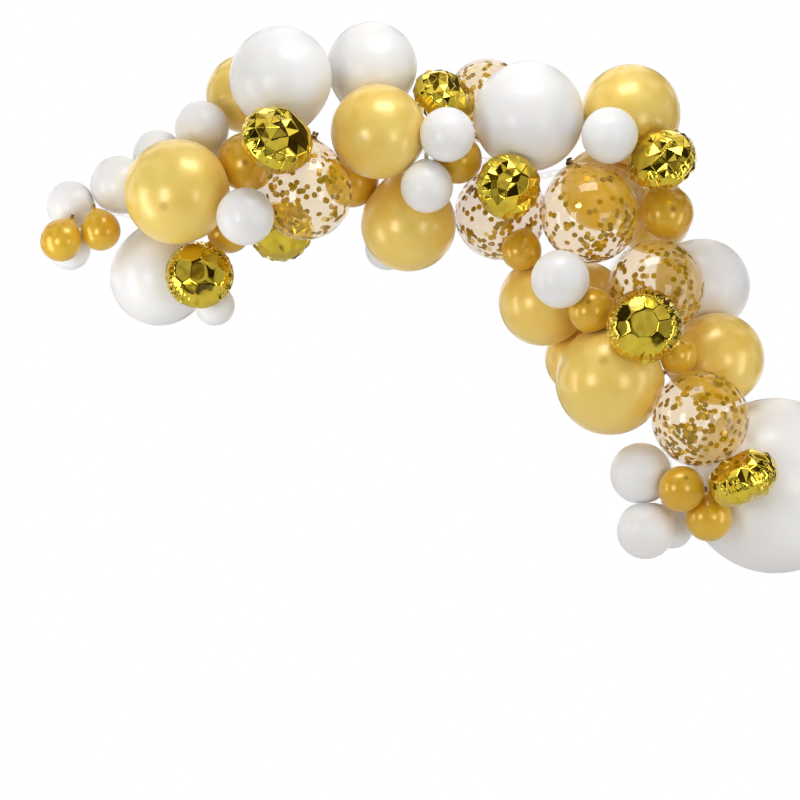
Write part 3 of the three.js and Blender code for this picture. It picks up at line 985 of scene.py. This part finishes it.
def creased(points, part, look, style, seed):
    """Gives both faces of a filled foil skin their creases; the seam stays as it was filled."""
    result = points.copy()
    keep = np.clip((1 - part) * 9, 0, 1)
    for side in (1, -1):
        chance = np.random.default_rng(seed + side)
        mirror = np.array([1, 1, side])
        on = (points[:, 2] * side > 0) & (part < 0.999)
        shape = points[on] * mirror
        if style == "ridges":
            height = ridged(shape[:, :2], look, chance)
        else:
            shape = draw_back(shape, polygon_planes(look, style, chance), 0.008)
            away, turn = np.hypot(shape[:, 0], shape[:, 1]), np.arctan2(shape[:, 1], shape[:, 0])
            wave = np.abs(np.sin(turn * look.pleats + 1.5 * np.sin(2 * turn + seed)))
            pleat = 0.9 * (1 - wave) ** 1.5 * np.clip((away - 0.7) / 0.15, 0, 1)
            height = shape[:, 2] - look.crumple * pleat
        shape[:, 2] += (np.maximum(height, 0.01) - shape[:, 2]) * keep[on]
        result[on] = shape * mirror
    return result


def foil_mesh(balloon, form, planes, look, seed):
    """A foil balloon: the filled form made finer, creased, given its tail, turned and put in place."""
    points, faces, part = form
    mesh = new_mesh(balloon.name, points, faces)
    mesh.attributes.new("part", "FLOAT", "POINT").data.foreach_set("value", part)
    seam = (part[values_of(mesh.edges, "vertices", 2, int)] > 0.999).all(axis=1)
    mesh.attributes.new("crease_edge", "FLOAT", "EDGE").data.foreach_set("value", seam.astype(float))
    holder = placed(balloon.name, mesh)
    finer = holder.modifiers.new("finer", "SUBSURF")
    finer.levels = finer.render_levels = 1
    made = plain_mesh(holder)
    part = values_of(made.attributes["part"].data, "value")
    points = creased(values_of(made.vertices, "co", 3), part, look, balloon.creases, seed)
    points[:, :2] *= min(1, 1.0 / np.percentile(np.hypot(*points[:, :2].T), 99.9))
    turn = np.arctan2(points[:, 1], points[:, 0])
    tail = np.clip(1.5 - np.abs(turn) / look.tail, 0, 1) * np.clip((part - 0.93) / 0.05, 0, 1)
    longer = 1 + TAIL_STRETCH * tail
    points *= np.column_stack([longer, longer, 1 - TAIL_FLATTENING * tail])
    basis = np.array([balloon.tail, np.cross(balloon.axis, balloon.tail), balloon.axis])
    points = points * balloon.radius @ basis
    points = draw_back(points, planes, 0.05 * balloon.radius) + balloon.centre
    made.vertices.foreach_set("co", points.ravel())
    made.update()
    made.shade_smooth()
    return made


class MakeFoilBalloons(bpy.types.Operator):
    """Makes the crumpled gold foil balloons"""

    bl_idname = "garland.foil_balloons"
    bl_label = "Foil balloons"

    def execute(self, context):
        look = context.scene.garland_foil
        foil = foil_material(look)
        forms = [foil_form(look, seed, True) for seed in FOIL_SEEDS]
        for number, balloon in enumerate(b for b in BALLOONS if b.foil):
            form = forms[number % len(forms)]
            mesh = foil_mesh(balloon, form, balloon.patches(), look, CREASE_SEED + number)
            add_piece("foil_skin_" + balloon.name, mesh, foil, balloon.kind, balloon.name)
        return {"FINISHED"}


def strip_cell(look):
    """One length of strip with its hole, open at both ends so that it joins the next."""
    half, width, thick = look.cell / 2, STRIP_WIDTH / 2, STRIP_THICKNESS / 2
    sides = 16
    angle = TURN * np.arange(sides) / sides
    ways = np.column_stack([np.cos(angle), np.sin(angle)])
    outer = ways / np.maximum(np.abs(ways[:, :1]) / half, np.abs(ways[:, 1:]) / width)
    for corner, signs in ((2, (1, 1)), (6, (-1, 1)), (10, (-1, -1)), (14, (1, -1))):
        outer[corner] = (half * signs[0], width * signs[1])
    hole = ways * look.hole / 2
    rows = [
        np.column_stack([flat, np.full(sides, high)])
        for flat, high in ((hole, thick), (outer, thick), (outer, -thick), (hole, -thick))
    ]
    faces = []
    for row in range(4):
        here, there = row * sides, (row + 1) % 4 * sides
        for i in range(sides):
            j = (i + 1) % sides
            at_end = (np.abs(outer[[i, j], 0]) > half * 0.999).all()
            if row != 1 or not at_end:
                faces.append((here + j, there + j, there + i, here + i))
    return new_mesh("strip_cell", np.vstack(rows), faces)


def strip_tree(cell, material):
    """Repeats a cell along X, joins the cells and bends the row along a path, flat side forward."""
    tree, kit, given = shape_tree("strip_bend", {"Count": "Int", "Cell Length": "Float"})
    step = kit.add("ShaderNodeCombineXYZ", {"X": given["Cell Length"]}).outputs[0]
    half = kit.vector("SCALE", step, Scale=0.5)
    values = {"Count": given["Count"], "Start Location": half, "Offset": step}
    line = kit.add("GeometryNodeMeshLine", values, mode="OFFSET").outputs[0]
    one = kit.add("GeometryNodeObjectInfo", {"Object": cell}).outputs["Geometry"]
    row = kit.add("GeometryNodeInstanceOnPoints", {"Points": line, "Instance": one}).outputs[0]
    real = kit.add("GeometryNodeRealizeInstances", {0: row}).outputs[0]
    joined = kit.add("GeometryNodeMergeByDistance", {"Geometry": real, "Distance": 0.05 * MM})
    x, y, z = kit.parts(kit.add("GeometryNodeInputPosition").outputs[0])
    total = Signal(kit, given["Cell Length"]) * Signal(kit, given["Count"])
    path = kit.add("GeometryNodeMeshToCurve", {"Mesh": given["Geometry"]}).outputs[0]
    values = {"Curves": path, "Factor": x.maths("DIVIDE", x, total)}
    sample = kit.add("GeometryNodeSampleCurve", values, mode="FACTOR", use_all_curves=True).outputs
    side = kit.vector("NORMALIZE", kit.vector("CROSS_PRODUCT", sample["Tangent"], (0, 1, 0)))
    front = kit.vector("CROSS_PRODUCT", side, sample["Tangent"])
    offset = kit.vector("ADD", kit.vector("SCALE", side, Scale=y), kit.vector("SCALE", front, Scale=z))
    bent = kit.vector("ADD", sample["Position"], offset)
    values = {"Geometry": joined.outputs[0], "Position": bent}
    give_out(kit, kit.add("GeometryNodeSetPosition", values).outputs[0], material)
    return tree


class MakeStrip(bpy.types.Operator):
    """Makes the strip with the holes that the balloons are tied to"""

    bl_idname = "garland.strip"
    bl_label = "Strip"

    def execute(self, context):
        look = context.scene.garland_strip
        plastic = strip_material(look)
        line = strip_line(900)
        long = np.linalg.norm(np.diff(line, axis=0), axis=1).sum()
        count = round(long / look.cell)
        path = new_mesh("strip_path", line, (), [(i, i + 1) for i in range(len(line) - 1)])
        cell = bpy.data.objects.new("strip_cell", strip_cell(look))
        tree = strip_tree(cell, plastic)
        made = grown(path, tree, {"Count": count, "Cell Length": look.cell}, "holed_strip")
        bpy.data.objects.remove(cell)
        if len(made.vertices) < count * 40:
            raise RuntimeError("The strip wasn't made")
        shape = bmesh.new()
        shape.from_mesh(made)
        bmesh.ops.holes_fill(shape, edges=[edge for edge in shape.edges if edge.is_boundary])
        shape.to_mesh(made)
        shape.free()
        add_piece("holed_strip", made, plastic, "balloon_strip", "balloon_strip")
        return {"FINISHED"}


def add_floor(height):
    material, kit = new_material("pale_floor")
    tint = kit.blend(kit.noise(6), (0.82, 0.82, 0.82), (0.78, 0.78, 0.78))
    kit.surface({"Base Color": tint, "Roughness": 0.7})
    near, far = -FLOOR_REACH, FLOOR_REACH
    corners = [(near, near, height), (far, near, height), (far, far, height), (near, far, height)]
    mesh = new_mesh("floor", corners, [(0, 1, 2, 3)])
    mesh.materials.append(material)
    placed("floor", mesh)


def add_room():
    """White where the camera looks, and a room with bright and dark patches for what mirrors it."""
    world = bpy.data.worlds.new("soft_room")
    bpy.context.scene.world = world
    world.use_nodes = True
    kit = NodeKit(world.node_tree)
    way = kit.add("ShaderNodeTexCoord").outputs["Generated"]
    depth, up = kit.parts(way)[1:]
    corners = kit.noise(3.2, 1, way).step(0.47, 0.56)
    bright = (depth.step(-0.5, 0.6) * 0.5 + up.step(-0.2, 0.9) * 0.28 + 0.18) * (corners * 1.75 + 0.08)
    bright = bright + (0 - depth).step(0.86, 0.98) * 0.16
    tint = kit.blend(corners, (1, 0.8, 0.5), (1, 1, 1))
    room = kit.add("ShaderNodeBackground", {"Color": tint, "Strength": bright})
    white = kit.add("ShaderNodeBackground", {"Color": (1, 1, 1), "Strength": 1.0})
    seen = kit.add("ShaderNodeLightPath").outputs["Is Camera Ray"]
    both = kit.add("ShaderNodeMixShader", {0: seen, 1: room.outputs[0], 2: white.outputs[0]})
    kit.add("ShaderNodeOutputWorld", {"Surface": both.outputs[0]})


def add_light(name, place, target, width, height, power):
    lamp = bpy.data.lights.new(name, "AREA")
    lamp.shape = "RECTANGLE"
    lamp.size, lamp.size_y = width, height
    lamp.energy = power
    holder = placed(name, lamp)
    holder.location = place
    holder.rotation_euler = (Vector(target) - Vector(place)).to_track_quat("-Z", "Y").to_euler()
    holder.visible_camera = False


class MakeStage(bpy.types.Operator):
    """Makes the floor, the lights and the camera"""

    bl_idname = "garland.stage"
    bl_label = "Stage"

    def execute(self, context):
        look = context.scene.garland_stage
        scene = context.scene
        add_floor(look.floor_height)
        add_room()
        for name, light in LIGHTS.items():
            add_light(name, *light)
        lens = bpy.data.cameras.new("camera")
        lens.sensor_width = SENSOR
        lens.lens = SENSOR * look.distance / look.frame_width
        lens.clip_end = 200
        camera = placed("camera", lens)
        camera.location = (look.centre_x, -look.distance, look.centre_z)
        camera.rotation_euler = (math.pi / 2, 0, 0)
        scene.camera = camera
        scene.view_settings.view_transform = "Standard"
        scene.cycles.use_denoising = True
        scene.cycles.transparent_max_bounces = 24
        return {"FINISHED"}


GROUPS = {
    "garland_latex": LatexSettings,
    "garland_confetti": ConfettiSettings,
    "garland_foil": FoilSettings,
    "garland_strip": StripSettings,
    "garland_stage": StageSettings,
}
OPERATORS = (MakeLatexBalloons, MakeConfettiBalloons, MakeFoilBalloons, MakeStrip, MakeStage)


class GARLAND_PT_panel(bpy.types.Panel):
    bl_label = "Garland"
    bl_space_type = "VIEW_3D"
    bl_region_type = "UI"
    bl_category = "Garland"

    def draw(self, context):
        for operator in OPERATORS:
            self.layout.operator(operator.bl_idname)
        for name, group in GROUPS.items():
            box = self.layout.box()
            for key in group.__annotations__:
                box.prop(getattr(context.scene, name), key)


def register():
    for name, group in GROUPS.items():
        bpy.utils.register_class(group)
        setattr(bpy.types.Scene, name, bpy.props.PointerProperty(type=group))
    for operator in OPERATORS:
        bpy.utils.register_class(operator)
    bpy.utils.register_class(GARLAND_PT_panel)


def unregister():
    bpy.utils.unregister_class(GARLAND_PT_panel)
    for operator in reversed(OPERATORS):
        bpy.utils.unregister_class(operator)
    for name, group in GROUPS.items():
        delattr(bpy.types.Scene, name)
        bpy.utils.unregister_class(group)


def main():
    register()
    bpy.ops.garland.stage()
    bpy.ops.garland.latex_balloons()
    bpy.ops.garland.confetti_balloons()
    bpy.ops.garland.foil_balloons()
    bpy.ops.garland.strip()


if __name__ == "__main__":
    main()
